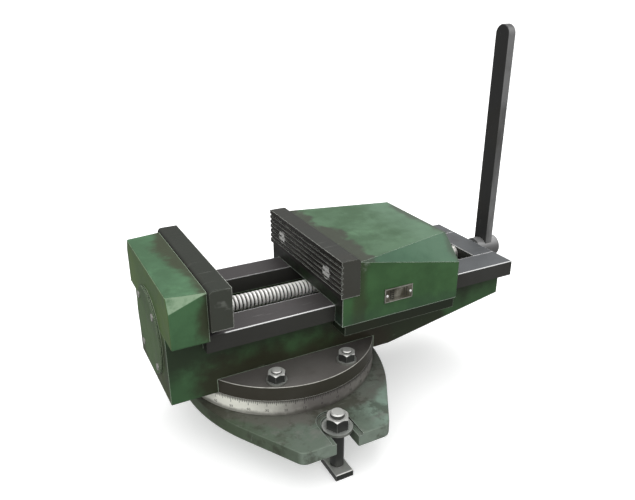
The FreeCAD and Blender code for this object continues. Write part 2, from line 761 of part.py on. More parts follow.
def make_lead_screw():
    """The lead screw, turned in one revolution: journals at both ends and thread grooves between."""
    minor = thread_radius - thread_depth
    end_x = collar_start_x - 4.0
    count = int((end_x - thread_start_x - thread_pitch) / thread_pitch)
    profile = [(head_face_x - front_bush_length - 4.0, 0.0), (head_face_x - front_bush_length - 4.0, journal_radius),
               (thread_start_x, journal_radius), (thread_start_x, thread_radius)]
    for i in range(count):
        x = thread_start_x + thread_pitch * (i + 0.5)
        profile += [(x, thread_radius), (x + 0.15 * thread_pitch, minor),
                    (x + 0.45 * thread_pitch, minor), (x + 0.6 * thread_pitch, thread_radius)]
    profile += [(end_x, thread_radius), (end_x, journal_radius), (screw_end_x, journal_radius), (screw_end_x, 0.0)]
    points = [V(x, 0.0, screw_z + r) for x, r in profile]
    face = Part.Face(Part.makePolygon(points + [points[0]]))
    screw = face.revolve(V(0, 0, screw_z), V(1, 0, 0), 360.0)
    screw = screw.cut(Part.makeCylinder(hub_pin_radius + thread_hole_gap, 2.0 * hub_radius,
                                        V(hub_pin_x(), -hub_radius, screw_z), V(0, 1, 0)))
    return screw


def hub_pin_x():
    return hub_start_x + hub_pin_from_face


def make_thrust_collar():
    end = collar_start_x + collar_length
    ring = rod_x(collar_radius, collar_start_x, end).cut(
        rod_x(journal_radius + bush_seat_gap, collar_start_x - 1.0, end + 1.0))
    ring = ring.makeChamfer(0.8, [e for e in ring.Edges if e.Length > 6.0 * collar_radius])
    hole = Part.makeCylinder(collar_set_screw + thread_hole_gap, 2.0 * collar_radius,
                             V(collar_start_x + collar_length / 2.0, 0, screw_z), V(0, -1, 0))
    return ring.cut(hole)


def make_collar_screw():
    x = collar_start_x + collar_length / 2.0
    outer = -collar_radius + 0.6
    screw = Part.makeCylinder(collar_set_screw, -outer - journal_radius - 0.1, V(x, outer, screw_z), V(0, 1, 0))
    return screw.cut(Part.makeCylinder(collar_set_screw * 0.5, 1.6, V(x, outer - 0.1, screw_z), V(0, 1, 0)))


def bar_envelope(gap):
    half = bar_width / 2.0 + gap
    return box(bar_start_x - gap, bar_start_x + bar_thickness + gap, -half, half,
               screw_z - bar_below_axis - gap, screw_z + 2.0 * hub_radius)


def make_crank_hub():
    hub = rod_x(hub_radius, hub_start_x, screw_end_x)
    rims = [e for e in hub.Edges if e.Length > 6.0 * hub_radius]
    rear = [e for e in rims if e.BoundBox.XMin > screw_end_x - 1.0]
    hub = hub.makeFillet(hub_round, rear)
    hub = hub.cut(rod_x(journal_radius + bush_seat_gap, hub_start_x - 1.0, screw_end_x + 1.0))
    hub = hub.cut(bar_envelope(bush_seat_gap))
    return hub.cut(Part.makeCylinder(hub_pin_radius + thread_hole_gap, 2.0 * hub_radius + 2.0,
                                     V(hub_pin_x(), -hub_radius - 1.0, screw_z), V(0, 1, 0)))


def make_crank_bar():
    half = bar_width / 2.0
    low = screw_z - bar_below_axis
    shoulder = screw_z + bar_reach - half
    x = bar_start_x
    edges = [Part.LineSegment(V(x, -half, low), V(x, half, low)).toShape(),
             Part.LineSegment(V(x, half, low), V(x, half, shoulder)).toShape(),
             Part.Arc(V(x, half, shoulder), V(x, 0, shoulder + half), V(x, -half, shoulder)).toShape(),
             Part.LineSegment(V(x, -half, shoulder), V(x, -half, low)).toShape()]
    bar = Part.Face(Part.Wire(edges)).extrude(V(bar_thickness, 0, 0))
    lengthwise = [e for e in bar.Edges if e.BoundBox.XLength < 1e-6 and e.BoundBox.ZMax > low + 1.0]
    bar = bar.makeFillet(bar_round, lengthwise)
    return bar.cut(rod_x(journal_radius + bush_seat_gap, x - 1.0, x + bar_thickness + 1.0))


def make_hub_pin():
    length = 2.0 * hub_radius - 1.0
    return Part.makeCylinder(hub_pin_radius, length, V(hub_pin_x(), -length / 2.0, screw_z), V(0, 1, 0))


def cover_screw_places():
    angles = [math.radians(cover_screw_turn + 360.0 * i / cover_screw_count) for i in range(cover_screw_count)]
    return [(cover_screw_circle * math.cos(a), cover_z + cover_screw_circle * math.sin(a)) for a in angles]


def make_end_cover():
    cover = rod_x(cover_radius, front_x - cover_thickness, front_x, 0.0, cover_z)
    rim = [e for e in cover.Edges if e.Length > 6.0 * cover_radius and e.BoundBox.XMax < front_x - 1.0]
    cover = cover.makeChamfer(cover_bevel, rim)
    for y, z in cover_screw_places():
        cover = cover.cut(rod_x(cover_screw_rod / 2.0 + rod_hole_gap / 2.0, front_x - cover_thickness - 1.0,
                                front_x + 1.0, y, z))
    return cover


def make_end_cover_screws():
    screws = []
    face_x = front_x - cover_thickness
    for y, z in cover_screw_places():
        head = rod_x(cover_screw_head, face_x - cover_screw_rise, face_x, y, z)
        shank = rod_x(cover_screw_rod / 2.0, face_x - 0.1, front_x + cover_screw_depth, y, z)
        slot = box(face_x - cover_screw_rise - 1.0, face_x - cover_screw_rise / 2.0, y - cover_screw_head,
                   y + cover_screw_head, z - 0.5, z + 0.5)
        screws.append(joined([head, shank]).cut(slot))
    return group(screws)


def recess_floor_z():
    return base_plate_height - ear_recess_depth


def make_table_bolt():
    y = -table_bolt_y
    top = recess_floor_z() + washer_thickness[table_rod] + hex_nut_height[table_rod] + table_rod_above_nut
    head = box(-table_head_width / 2.0, table_head_width / 2.0, y - table_head_length / 2.0,
               y + table_head_length / 2.0, -table_grip_below - table_head_height, -table_grip_below)
    head = head.makeChamfer(0.8, edges_at_z(head, -table_grip_below))
    shank = disc(table_rod / 2.0, 0, y, -table_grip_below - 1.0, top)
    return joined([head, shank.makeChamfer(1.2, edges_at_z(shank, top))])


def make_table_washer():
    return washer(table_rod, 0, -table_bolt_y, recess_floor_z())


def make_table_nut():
    return nut(table_rod, 0, -table_bolt_y, recess_floor_z() + washer_thickness[table_rod])


def build():
    nodes = {
        "swivel_base": make_swivel_base(),
        "degree_ring": make_scale_ring(),
        "pivot_bush": make_pivot_bush(),
        "pivot_pin": make_pivot_pin(),
        "swivel_plate": make_swivel_plate(),
        "plate_screws": make_plate_screws(),
        "clamp_bolts": make_clamp_bolts(),
        "clamp_washers": group([washer(clamp_rod, x, y, plate_top_z) for x, y in clamp_places()]),
        "clamp_nuts": group([nut(clamp_rod, x, y, plate_top_z + washer_thickness[clamp_rod])
                             for x, y in clamp_places()]),
        "body_casting": make_body_casting(),
        "near_way": make_way(-1),
        "far_way": make_way(1),
        "way_studs": make_way_studs(),
        "bearing_block": make_bearing_block(),
        "block_screws": make_block_screws(),
        "rear_screw_bush": make_rear_bush(),
        "front_screw_bush": make_front_bush(),
        "end_cover": make_end_cover(),
        "end_cover_screws": make_end_cover_screws(),
        "fixed_jaw_plate": on_fixed_face(jaw_plate_blank(fixed_plate_half_width, 0)),
        "fixed_jaw_screws": on_fixed_face(jaw_screws_blank()),
        "moving_jaw": make_moving_jaw(),
        "moving_jaw_plate": on_moving_face(jaw_plate_blank(moving_plate_half_width, groove_count)),
        "moving_jaw_screws": on_moving_face(jaw_screws_blank()),
        "jaw_nut": make_jaw_nut(),
        "nut_screws": make_nut_screws(),
        "near_keeper": make_keeper(-1),
        "far_keeper": make_keeper(1),
        "keeper_screws": make_keeper_screws(),
        "name_plate": make_name_plate(),
        "name_plate_rivets": make_name_plate_rivets(),
        "lead_screw": make_lead_screw(),
        "thrust_collar": make_thrust_collar(),
        "collar_set_screw": make_collar_screw(),
        "crank_hub": make_crank_hub(),
        "crank_bar": make_crank_bar(),
        "hub_pin": make_hub_pin(),
        "front_table_bolt": make_table_bolt(),
        "front_table_washer": make_table_washer(),
        "front_table_nut": make_table_nut(),
        "rear_table_bolt": mirrored_y(make_table_bolt()),
        "rear_table_washer": mirrored_y(make_table_washer()),
        "rear_table_nut": mirrored_y(make_table_nut()),
    }
    os.makedirs("parts", exist_ok=True)
    for name, shape in nodes.items():
        shape.exportStep("parts/" + name + ".step")
        solids = len(shape.Solids)
        print(f"{name}: {solids} solid(s), {shape.Volume / 1000.0:.1f} cm3, valid {shape.isValid()}")


build()
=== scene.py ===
import math

import bmesh
import bpy
from mathutils import Matrix, Vector


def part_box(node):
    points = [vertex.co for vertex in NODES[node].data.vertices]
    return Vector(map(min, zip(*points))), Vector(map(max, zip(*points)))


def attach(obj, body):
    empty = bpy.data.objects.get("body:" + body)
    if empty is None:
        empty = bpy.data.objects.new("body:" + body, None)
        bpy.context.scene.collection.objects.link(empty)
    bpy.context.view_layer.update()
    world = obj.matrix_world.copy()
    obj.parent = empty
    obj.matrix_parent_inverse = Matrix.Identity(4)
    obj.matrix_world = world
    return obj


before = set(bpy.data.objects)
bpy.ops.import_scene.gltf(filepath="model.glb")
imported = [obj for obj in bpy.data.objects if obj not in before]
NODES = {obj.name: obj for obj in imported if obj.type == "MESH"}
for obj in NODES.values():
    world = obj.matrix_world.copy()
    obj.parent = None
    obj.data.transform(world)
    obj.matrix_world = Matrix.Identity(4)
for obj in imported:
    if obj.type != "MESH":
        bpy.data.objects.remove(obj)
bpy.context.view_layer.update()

MM = 0.001
SHINE = 0.3              # mirror strength of every finish
PROBES = 6               # rays that feel for an edge or a corner


# ---------------------------------------------------------------- shader maths

class Signal:
    """A shader socket that can be used in sums."""

    def __init__(self, net, socket):
        self.net = net
        self.socket = socket

    def __add__(self, other):
        return self.net.maths("ADD", self, other)

    def __sub__(self, other):
        return self.net.maths("SUBTRACT", self, other)

    def __mul__(self, other):
        return self.net.maths("MULTIPLY", self, other)

    def __radd__(self, other):
        return self.net.maths("ADD", other, self)

    def __rsub__(self, other):
        return self.net.maths("SUBTRACT", other, self)

    def __rmul__(self, other):
        return self.net.maths("MULTIPLY", other, self)


class Net:
    """The node tree of a material or of the world."""

    def __init__(self, owner):
        owner.use_nodes = True
        self.tree = owner.node_tree

    def node(self, kind, settings, values, output=0):
        """Any node: its type, its settings, and the values or links of its sockets."""
        made = self.tree.nodes.new(kind)
        for key, value in settings.items():
            setattr(made, key, value)
        self.feed_all(made, values)
        return Signal(self, made.outputs[output])

    def feed_all(self, node, values):
        """Feeds each socket that values gives by its name or number."""
        for key, value in values.items():
            self.feed(node.inputs[key], value)

    def feed(self, socket, value):
        """Links a signal to a socket, or sets the socket's own number, vector or colour."""
        if isinstance(value, Signal):
            self.tree.links.new(value.socket, socket)
        elif socket.type == "RGBA":
            socket.default_value = (*value, 1.0)
        else:
            socket.default_value = value

    def maths(self, operation, first, second=0.0):
        return self.node("ShaderNodeMath", {"operation": operation}, {0: first, 1: second})

    def higher(self, first, second):
        return self.maths("MAXIMUM", first, second)

    def unsigned(self, value):
        return self.maths("ABSOLUTE", value)

    def length(self, across, along):
        """The length of a step that goes across and along."""
        return self.maths("SQRT", across * across + along * along)

    def blend(self, share, first, second):
        """A colour that goes from first to second as share goes from 0 to 1."""
        return self.node("ShaderNodeMix", {"data_type": "RGBA"}, {0: share, 6: first, 7: second}, 2)

    def level(self, value, low, high):
        """0 below low, 1 above high, smooth between them."""
        settings = {"interpolation_type": "SMOOTHSTEP"}
        return self.node("ShaderNodeMapRange", settings, {0: value, 1: low, 2: high, 3: 0.0, 4: 1.0})

    def span(self, value, low, high, at_low, at_high):
        """Goes in a straight line from at_low at low to at_high at high."""
        values = {0: value, 1: low, 2: high, 3: at_low, 4: at_high}
        return self.node("ShaderNodeMapRange", {}, values)

    def part(self, vector, axis):
        return self.node("ShaderNodeSeparateXYZ", {}, {0: vector}, "XYZ".index(axis))


class Finish(Net):
    """One material, built from named patterns on the part's own coordinates."""

    def __init__(self, name):
        self.material = bpy.data.materials.new(name)
        super().__init__(self.material)
        self.shader = self.tree.nodes["Principled BSDF"]
        self.place = self.node("ShaderNodeTexCoord", {}, {}, "Object")
        self.facing = self.node("ShaderNodeTexCoord", {}, {}, "Normal")
        self.true_normal = self.node("ShaderNodeNewGeometry", {}, {}, "Normal")

    def noise(self, scale, detail, roughness, stretch=(1.0, 1.0, 1.0), shift=(0.0, 0.0, 0.0)):
        """Soft random patches; a larger scale makes them smaller."""
        moved = {"Vector": self.place, "Location": shift, "Scale": stretch}
        place = self.node("ShaderNodeMapping", {}, moved)
        values = {"Vector": place, "Scale": scale, "Detail": detail, "Roughness": roughness}
        return self.node("ShaderNodeTexNoise", {}, values)

    def edges(self, radius):
        """1 on sharp or rounded edges within radius, 0 on flats."""
        rounded = self.node("ShaderNodeBevel", {"samples": PROBES}, {"Radius": radius})
        pair = {0: rounded, 1: self.true_normal}
        alike = self.node("ShaderNodeVectorMath", {"operation": "DOT_PRODUCT"}, pair, "Value")
        return self.level(1.0 - alike, 0.012, 0.11)

    def near(self, axis, where, reach, soft, ragged=0.0):
        """1 within reach of a plane across axis, falling to 0 over soft, with a ragged limit."""
        away = self.unsigned(self.part(self.place, axis) - where)
        return 1.0 - self.level(away + ragged, reach, reach + soft)

    def above(self, axis, where, soft, ragged=0.0):
        """0 short of a plane across axis, rising to 1 over soft beyond it."""
        return self.level(self.part(self.place, axis) + ragged, where, where + soft)

    def from_axis(self):
        """Distance from the upright axis through the origin."""
        return self.length(self.part(self.place, "X"), self.part(self.place, "Y"))

    def from_screws(self, side_place, height):
        """Distance from the nearer of two level axes, one on each side of the middle."""
        aside = self.unsigned(self.part(self.place, "Y")) - side_place
        return self.length(aside, self.part(self.place, "Z") - height)

    def facing_up(self, low, high):
        """0 below a share of facing straight up, 1 above a higher one."""
        return self.level(self.part(self.facing, "Z"), low, high)

    def facing_back(self, axis, low, high):
        """0 below a share of facing against an axis, 1 above a higher one."""
        return self.level(0.0 - self.part(self.facing, axis), low, high)

    def slanting(self, low, full, fading, gone):
        """1 on faces that slant upwards between full and fading, 0 below low and above gone."""
        return self.facing_up(low, full) * (1.0 - self.facing_up(fading, gone))

    def crevices(self, reach):
        """1 deep in corners and under ledges, 0 in the open."""
        settings = {"samples": PROBES}
        open_share = self.node("ShaderNodeAmbientOcclusion", settings, {"Distance": reach}, "AO")
        return 1.0 - open_share

    def bump(self, height, depth, strength):
        """A bumped normal: depth in metres, strength from 0 to 1."""
        values = {"Height": height, "Distance": depth, "Strength": strength}
        return self.node("ShaderNodeBump", {}, values)

    def finish(self, colour, roughness, metallic, normal):
        """Joins the patterns to the shader and gives the finished material."""
        values = {"Specular IOR Level": SHINE, "Base Color": colour, "Roughness": roughness,
                  "Metallic": metallic, "Normal": normal}
        self.feed_all(self.shader, values)
        return self.material


# ---------------------------------------------------------------- materials

# Lengths are in metres, and colours are linear red, green and blue.
WAY_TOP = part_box("near_way")[1].z
FLANGE_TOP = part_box("swivel_plate")[1].z
JAW_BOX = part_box("moving_jaw")
HEAD_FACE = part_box("fixed_jaw_plate")[0].x
AXIS_Z = sum(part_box("front_screw_bush")[i].z for i in (0, 1)) / 2.0

# a soot colour: real dirt round edges, and painted shade and shadow elsewhere
SOOT_AND_SHADE = (0.016, 0.014, 0.010)
BROWN = (0.040, 0.031, 0.018)
BRIGHT_EDGE = (0.85, 0.85, 0.85)


def scaled(colour, factor):
    return tuple(min(1.0, share * factor) for share in colour)


def paint_base(net, top, side, end):
    """Enamel painted in lit and shaded copies: one colour where it faces up, one on the sides and one on
    faces that look against X, with pale patches on up faces that are partly random paler paint and partly
    painted light.
    """
    up = net.facing_up(0.30, 0.95)
    ahead = net.facing_back("X", 0.6, 0.95)
    broad = net.noise(13.0, 5.0, 0.6, shift=(0.3, 0.1, 0.7))
    mottle = net.noise(42.0, 6.0, 0.62, shift=(0.9, 0.4, 0.2))
    # painted light and shade: the colour follows which way the face looks
    colour = net.blend(up, side, top)
    colour = net.blend(ahead, colour, end)
    shade = net.level(broad + (mottle - 0.5) * 0.7, 0.36, 0.66)
    colour = net.blend((1.0 - shade) * 0.42, colour, scaled(side, 0.45))
    # pale patches on up faces: random paler paint and painted top light
    pale = net.level(net.noise(21.0, 6.0, 0.66, shift=(0.2, 0.6, 0.4)), 0.52, 0.72)
    colour = net.blend(pale * up * 0.5, colour, scaled(top, 1.55))
    return colour, broad, mottle, up


def paint_wear(net, colour, mottle, chip_colour, amount, dirt=0.55):
    """Dirt round the edges, then pale scuffed paint and chips on them."""
    fine = net.noise(420.0, 3.0, 0.6)
    wide = net.edges(0.0045)
    colour = net.blend(wide * net.level(mottle, 0.42, 0.62) * dirt, colour, SOOT_AND_SHADE)
    rub = net.edges(0.0017)
    chips = net.level(rub * 1.05 + (fine - 0.5) * 0.8 + (mottle - 0.5) * 1.2, 0.44, 0.66)
    colour = net.blend(chips * amount, colour, chip_colour)
    flecks = net.level(net.noise(120.0, 5.0, 0.7, shift=(0.1, 0.6, 0.3)), 0.70, 0.74)
    colour = net.blend(flecks * 0.5, colour, chip_colour)
    strokes = net.noise(46.0, 4.0, 0.6, stretch=(0.5, 5.0, 1.0), shift=(0.8, 0.2, 0.7))
    scuffs = net.level(strokes, 0.66, 0.74)
    colour = net.blend(scuffs * 0.28, colour, chip_colour)
    return colour, fine, chips


def grimy_corners(net, colour, mottle, reach, spread, low, share):
    """Painted shade in corners within reach, in a soot colour; also gives where it lies."""
    corner_shade = net.level(net.crevices(reach) + (mottle - 0.5) * spread, low, 0.85)
    return net.blend(corner_shade * share, colour, SOOT_AND_SHADE), corner_shade


def paint_grain(net, fine, chips):
    """The surface of thick enamel, with its chips sunk in it."""
    grain = fine * 0.4 + net.noise(150.0, 4.0, 0.6) * 0.6 - chips * 0.25
    return net.bump(grain, 0.00035, 0.6)


def body_enamel():
    """The body casting: painted shadow under the ways and under the moving jaw, painted shade low on its
    end face, a darker lower body, brown oil round the flange, painted light on the head facets.
    """
    net = Finish("body_enamel")
    top = (0.072, 0.160, 0.082)
    side = (0.070, 0.166, 0.073)
    end = (0.088, 0.150, 0.042)
    colour, broad, mottle, _ = paint_base(net, top, side, end)
    ragged = (broad - 0.5) * 0.075 + (mottle - 0.5) * 0.030
    trunk = 1.0 - net.above("Z", WAY_TOP, 0.004, 0.0)

    # a darker green on the body below the ways, less of it at the front
    lower_body_green = (0.026, 0.056, 0.017)
    head_end = -0.110
    front_share = 1.0 - net.above("X", head_end, 0.04, ragged * 0.6)
    colour = net.blend(trunk * (0.62 - front_share * 0.34), colour, lower_body_green)

    # painted shadow: the body goes near black under the moving jaw
    jaw_shadow_black = (0.020, 0.019, 0.011)
    past_jaw = net.above("X", JAW_BOX[1].x - 0.004, 0.02, ragged)
    below_jaw = net.above("X", JAW_BOX[0].x, 0.03, ragged) * (1.0 - past_jaw)
    colour = net.blend(below_jaw * trunk * 0.78, colour, jaw_shadow_black)

    # painted shade: the low part of the end face, under the end cover, goes brown
    low_end = 1.0 - net.above("Z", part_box("end_cover")[0].z + 0.010, 0.020, ragged * 0.5)
    colour = net.blend(low_end * net.facing_back("X", 0.6, 0.95) * 0.55, colour, BROWN)

    # painted shadow on the body under the overhanging ways
    way_shadow_height = WAY_TOP - 0.021
    under_ways = net.near("Z", way_shadow_height, 0.006, 0.030, ragged) * trunk
    colour = net.blend(under_ways * 0.70, colour, SOOT_AND_SHADE)

    brown_oil = (0.026, 0.021, 0.012)
    by_flange = net.near("Z", FLANGE_TOP, 0.004, 0.034, ragged)
    by_flange = by_flange * net.near("X", 0.0, 0.105, 0.03, ragged)
    colour = net.blend(by_flange * 0.85, colour, brown_oil)

    stain_limit = (broad - 0.5) * 0.06 + (mottle - 0.5) * 0.02
    by_plate = net.near("X", HEAD_FACE, 0.003, 0.016, stain_limit) * (1.0 - trunk)
    colour = net.blend(by_plate * 0.75, colour, BROWN)

    # painted light on the slanting head facets
    lit_pale_green = (0.290, 0.410, 0.270)
    facet = net.slanting(0.28, 0.36, 0.55, 0.70) * (1.0 - trunk)
    colour = net.blend(facet * net.level(mottle, 0.30, 0.50) * 0.85, colour, lit_pale_green)

    # painted shade in the corners
    colour, corner_shade = grimy_corners(net, colour, mottle, 0.014, 0.5, 0.28, 0.85)
    colour, fine, chips = paint_wear(net, colour, mottle, (0.34, 0.42, 0.32), 0.85)
    roughness = 0.50 + (mottle - 0.5) * 0.3 + corner_shade * 0.15
    return net.finish(colour, roughness, 0.0, paint_grain(net, fine, chips))


def jaw_enamel():
    """The moving jaw: a band of old grease behind its plate, brown runs on its side, painted light on the
    rear of its top, a painted bluish shade on its slanting rear facets, and a front face both oily and
    painted in shade.
    """
    net = Finish("jaw_enamel")
    top = (0.088, 0.162, 0.094)
    side = (0.054, 0.135, 0.048)
    # the front face is near black: oil, and painted shade
    oily_shaded_front = (0.010, 0.010, 0.008)
    colour, broad, mottle, up = paint_base(net, top, side, oily_shaded_front)
    behind_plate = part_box("moving_jaw_plate")[1].x
    ragged = (broad - 0.5) * 0.085 + (mottle - 0.5) * 0.026

    # painted shade: the slanting facets take a darker teal
    facet_shade_teal = (0.052, 0.125, 0.092)
    colour = net.blend(net.slanting(0.62, 0.70, 0.86, 0.97) * 0.42, colour, facet_shade_teal)

    # painted light: the rear of the jaw's top is paler
    lit_pale_green = (0.150, 0.245, 0.170)
    far_corner = net.above("X", behind_plate + 0.075, 0.055, ragged) * up
    colour = net.blend(far_corner * 0.5, colour, lit_pale_green)

    old_grease = (0.050, 0.045, 0.038)
    grease = net.near("X", behind_plate, 0.010, 0.012, ragged) * up
    colour = net.blend(grease * 0.80, colour, old_grease)

    grey_dust = (0.070, 0.068, 0.060)
    rear_stain = net.near("X", JAW_BOX[1].x, 0.002, 0.012, ragged * 0.6) * up
    colour = net.blend(rear_stain * 0.65, colour, grey_dust)

    side_stain = net.near("X", behind_plate, 0.002, 0.011, ragged * 0.45) * (1.0 - up)
    colour = net.blend(side_stain * 0.50, colour, BROWN)

    dark_green = (0.034, 0.060, 0.046)
    foot = net.near("Z", JAW_BOX[0].z, 0.002, 0.020, ragged * 0.5) * (1.0 - up)
    colour = net.blend(foot * 0.35, colour, dark_green)

    # painted shade in the corners
    colour, corner_shade = grimy_corners(net, colour, mottle, 0.010, 0.5, 0.28, 0.75)
    colour, fine, chips = paint_wear(net, colour, mottle, (0.44, 0.52, 0.44), 0.92)
    roughness = 0.46 + (mottle - 0.5) * 0.3 + corner_shade * 0.15
    return net.finish(colour, roughness, 0.0, paint_grain(net, fine, chips))


def base_enamel():
    """The swivel base: enamel gone grey with metal dust, bare iron in patches, lit and shaded copies by
    facing, painted shade on the head's side and in the corners.
    """
    net = Finish("base_enamel")
    top = (0.112, 0.145, 0.112)
    side = (0.260, 0.320, 0.262)
    end = (0.100, 0.130, 0.090)
    colour, broad, mottle, up = paint_base(net, top, side, end)

    bluish_grey = (0.270, 0.375, 0.310)
    crank_side = net.above("X", 0.02, 0.05, (broad - 0.5) * 0.12) * up
    colour = net.blend(crank_side * 0.75, colour, bluish_grey)

    # painted shade on the head's side of the base
    dark_green = (0.050, 0.076, 0.034)
    head_side = 1.0 - net.above("X", -0.120, 0.09, (broad - 0.5) * 0.1)
    colour = net.blend(head_side * 0.8, colour, dark_green)

    bare_iron = (0.190, 0.188, 0.172)
    bare = net.level(net.noise(17.0, 6.0, 0.7, shift=(0.6, 0.2, 0.9)), 0.50, 0.62) * up
    colour = net.blend(bare * 0.60, colour, bare_iron)

    iron_dust = (0.118, 0.112, 0.098)
    outwards = net.from_axis() + (broad - 0.5) * 0.07 + (mottle - 0.5) * 0.02
    dust_thins = 0.138
    dust_ends = 0.152
    by_ring = 1.0 - net.level(outwards, dust_thins, dust_ends)
    colour = net.blend(by_ring * up * 0.72, colour, iron_dust)

    dried_oil = (0.040, 0.040, 0.026)
    dirt = net.level(net.noise(24.0, 6.0, 0.7, shift=(0.3, 0.9, 0.1)), 0.50, 0.62)
    colour = net.blend(dirt * 0.60, colour, dried_oil)

    # painted shade in the corners
    colour, _ = grimy_corners(net, colour, mottle, 0.012, 0.5, 0.30, 0.8)
    colour, fine, chips = paint_wear(net, colour, mottle, (0.30, 0.34, 0.30), 0.85, 0.25)
    grain = fine * 0.5 + net.noise(120.0, 4.0, 0.6) * 0.5 - chips * 0.3
    return net.finish(colour, 0.46 + (mottle - 0.5) * 0.35, 0.12, net.bump(grain, 0.0004, 0.6))


def cover_enamel():
    """The end cover: the same green with lit and shaded copies by facing, painted shade in its corners, and
    a thin pale rim where the paint is chipped.
    """
    net = Finish("cover_enamel")
    top = (0.080, 0.120, 0.070)
    side = (0.046, 0.080, 0.036)
    end = (0.074, 0.130, 0.048)
    colour, _, mottle, _ = paint_base(net, top, side, end)
    # painted shade in the corners
    colour, _ = grimy_corners(net, colour, mottle, 0.006, 0.4, 0.30, 0.8)
    colour, fine, _ = paint_wear(net, colour, mottle, (0.42, 0.50, 0.36), 0.9)
    return net.finish(colour, 0.48 + (mottle - 0.5) * 0.3, 0.0, net.bump(fine, 0.0003, 0.6))


def streaked_side(net, colour, axis, lit_colour):
    """Painted light on the face that looks against an axis, broken into long streaks."""
    lit_side = net.facing_back(axis, 0.5, 0.9)
    streaks = net.level(net.noise(34.0, 5.0, 0.6, stretch=(1.0, 1.0, 0.25)), 0.30, 0.62)
    return net.blend(lit_side * (streaks * 0.6 + 0.4), colour, lit_colour)


def working_face(net, colour, ahead, face_colour):
    """A dark gripping face, with painted shade in its grooves."""
    colour = net.blend(ahead, colour, face_colour)
    # painted shade: the grooves go black where their sides close in
    serration_shade = (0.006, 0.005, 0.004)
    hollow = net.level(net.crevices(0.003), 0.08, 0.34)
    return net.blend(hollow * 0.92, colour, serration_shade)


def bright_bores(net, colour, ahead, patchy, screws):
    """Painted highlights: bright rims round the two bores that hold the screws of that node."""
    low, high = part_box(screws)
    reach = (high.z - low.z) / 2.0
    from_bore = net.from_screws(high.y - reach, (low.z + high.z) / 2.0) + (patchy - 0.5) * 0.002
    # painted highlight round each bore
    rim = 1.0 - net.level(from_bore, reach + 0.9 * MM, reach + 1.5 * MM)
    return net.blend(rim * ahead * 0.85, colour, (0.72, 0.72, 0.70))


def dark_steel(name, dark, light, edge_colour, grain=(1.0, 1.0, 1.0), streaks=None, slant_highlight=0.0,
               face_colour=None, wear_above=None, screws=None, rear_light=None, wear_width=0.0013):
    """Blackened, oiled steel in lit and shaded copies: its tone goes from dark to light as the face turns
    up, lighter at the rear where rear_light is given, painted shade in its corners, a painted highlight on
    slanting chamfers, bright edge wear, and fine scratches.

    streaks holds an axis and the colour of the painted light, in streaks, on the side that looks against
    it, face_colour is for a gripping face, and screws names the node whose bores get painted highlight
    rims.
    """
    net = Finish(name)
    up = net.facing_up(0.2, 0.9)
    ahead = net.facing_back("X", 0.4, 0.9)
    broad = net.noise(16.0, 5.0, 0.6, shift=(0.5, 0.2, 0.4))
    fine = net.noise(230.0, 4.0, 0.6, stretch=grain)
    # painted light: lighter towards the rear of the part
    if rear_light is not None:
        light = net.blend(net.above("X", JAW_BOX[1].x - 0.05, 0.06), light, rear_light)
    # painted light and shade: dark to light as the face turns up
    colour = net.blend(up * 0.85 + (broad - 0.5) * 0.45, dark, light)
    # painted light on the lit side
    if streaks is not None:
        colour = streaked_side(net, colour, *streaks)
    if face_colour is not None:
        colour = working_face(net, colour, ahead, face_colour)

    brown = net.level(net.noise(11.0, 5.0, 0.65, shift=(0.7, 0.3, 0.8)), 0.50, 0.70)
    brownish = tuple(0.5 * (share + other) for share, other in zip(dark, BROWN))
    colour = net.blend(brown * 0.40, colour, brownish)
    # painted shade in the corners
    corner_shade = net.level(net.crevices(0.005), 0.35, 0.9)
    colour = net.blend(corner_shade * 0.7, colour, SOOT_AND_SHADE)

    strokes = net.noise(30.0, 4.0, 0.6, stretch=(0.6, 14.0, 1.0), shift=(0.2, 0.7, 0.9))
    scratch = net.level(strokes, 0.66, 0.72)
    patchy = net.noise(70.0, 4.0, 0.6, shift=(0.3, 0.8, 0.5))
    # edge wear, and a painted highlight on whole slanting chamfer faces
    rub = net.higher(net.edges(wear_width), net.slanting(0.45, 0.60, 0.80, 0.92) * slant_highlight)
    wear_and_highlight = net.level(rub * 1.05 + (fine - 0.5) * 0.7 + (patchy - 0.5) * 1.6, 0.42, 0.72)
    if wear_above is not None:
        wear_and_highlight = wear_and_highlight * net.above("Z", wear_above, 0.001) * net.above("X", HEAD_FACE + 0.020, 0.004)
    if face_colour is not None:
        wear_and_highlight = wear_and_highlight * (1.0 - ahead * 0.90)
    colour = net.blend(net.higher(wear_and_highlight * 0.9, scratch * 0.16), colour, edge_colour)
    if screws is not None:
        colour = bright_bores(net, colour, ahead, patchy, screws)
    roughness = 0.46 + (broad - 0.5) * 0.3 + (fine - 0.5) * 0.2
    return net.finish(colour, roughness, 0.35, net.bump(fine, 0.00018, 0.5))


